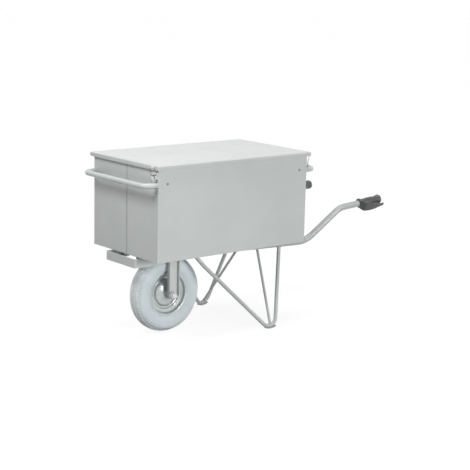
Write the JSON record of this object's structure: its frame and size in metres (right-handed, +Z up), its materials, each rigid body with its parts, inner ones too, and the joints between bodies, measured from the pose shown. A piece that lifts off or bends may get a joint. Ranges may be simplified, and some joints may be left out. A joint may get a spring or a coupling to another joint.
{
  "type": "box barrow",
  "caption": "Light grey sheet-steel box barrow: hinged lid, end latches and carrying handles on a tube frame with a front wheel, V legs and two gripped handles.",
  "frame": {"origin": "on the ground, under the middle of the cart's length and width", "axes": "+X from the wheel towards the handles, +Y to the lid's hinge side, +Z up"},
  "size_m": [1.578, 0.6472, 0.905],
  "materials": {
    "light_grey_paint": "semi-gloss light grey powder coat",
    "zinc": "bright zinc plated",
    "rim_zinc": "bright zinc plated pressing",
    "bearing_steel": "ground steel",
    "tyre_grey": "matt pale grey",
    "seal_rubber": "matt black",
    "grip_plastic": "matt dark grey"
  },
  "bodies": {
    "cart": {"axle": "zinc", "axle_nut_far": "zinc", "axle_nut_near": "zinc", "axle_spacer_far": "zinc", "axle_spacer_near": "zinc", "bearing_spacer": "bearing_steel", "box_shell_far": "light_grey_paint", "box_shell_near": "light_grey_paint", "bumper_bracket_far": "light_grey_paint", "bumper_bracket_near": "light_grey_paint", "carry_handle_front": "light_grey_paint", "carry_handle_rear": "light_grey_paint", "cross_member_front": "light_grey_paint", "cross_member_rear": "light_grey_paint", "floor_pan": "light_grey_paint", "foot_shoe_far": "light_grey_paint", "foot_shoe_near": "light_grey_paint", "fork_crown": "light_grey_paint", "fork_leg_far": "light_grey_paint", "fork_leg_near": "light_grey_paint", "frame_screw_front_far": "zinc", "frame_screw_front_near": "zinc", "frame_screw_rear_far": "zinc", "frame_screw_rear_near": "zinc", "front_bumper": "light_grey_paint", "grip_far": "grip_plastic", "grip_near": "grip_plastic", "handle_screw_front_far": "zinc", "handle_screw_front_near": "zinc", "handle_screw_rear_far": "zinc", "handle_screw_rear_near": "zinc", "hinge_leaf_box": "zinc", "hinge_pin": "zinc", "latch_base_front": "zinc", "latch_base_rear": "zinc", "latch_pin_front": "zinc", "latch_pin_rear": "zinc", "leg_far": "light_grey_paint", "leg_near": "light_grey_paint", "leg_strut_far": "light_grey_paint", "leg_strut_near": "light_grey_paint", "lid_seal": "seal_rubber", "rail_far": "light_grey_paint", "rail_near": "light_grey_paint", "top_rim": "light_grey_paint"},
    "wheel": {"tyre": "tyre_grey", "rim_near": "rim_zinc", "rim_far": "rim_zinc", "hub": "rim_zinc", "bearing_near": "bearing_steel", "bearing_far": "bearing_steel"},
    "lid": {"lid_panel": "light_grey_paint", "lid_stiffener": "light_grey_paint", "hinge_leaf_lid": "zinc", "latch_keeper_front": "zinc", "latch_keeper_rear": "zinc"},
    "lever_front": {"latch_lever_front": "zinc"},
    "hoop_front": {"latch_hoop_front": "zinc"},
    "lever_rear": {"latch_lever_rear": "zinc"},
    "hoop_rear": {"latch_hoop_rear": "zinc"}
  },
  "joints": [
    {"name": "wheel_spin", "type": "hinge", "parent": "cart", "child": "wheel", "pos_m": [-0.46152, 0, 0.2], "axis": [0, 1, 0], "continuous": true},
    {"name": "lid_hinge", "type": "hinge", "parent": "cart", "child": "lid", "pos_m": [-0.23202, 0.2961, 0.8815], "axis": [-1, 0, 0], "range_deg": [0, 105]},
    {"name": "latch_front", "type": "hinge", "parent": "cart", "child": "lever_front", "pos_m": [-0.71902, -0.2515, 0.85], "axis": [0, 1, 0], "range_deg": [0, 120]},
    {"name": "hoop_front", "type": "hinge", "parent": "lever_front", "child": "hoop_front", "pos_m": [-0.72202, -0.2515, 0.8405], "axis": [0, 1, 0], "range_deg": [-150, 5]},
    {"name": "latch_rear", "type": "hinge", "parent": "cart", "child": "lever_rear", "pos_m": [0.25498, -0.2515, 0.85], "axis": [0, -1, 0], "range_deg": [0, 120]},
    {"name": "hoop_rear", "type": "hinge", "parent": "lever_rear", "child": "hoop_rear", "pos_m": [0.25798, -0.2515, 0.8405], "axis": [0, -1, 0], "range_deg": [-150, 5]}
  ],
  "couplings": [
    {"joint": "hoop_front", "follows": "latch_front", "ratio": -1.2},
    {"joint": "hoop_rear", "follows": "latch_rear", "ratio": -1.2}
  ]
}
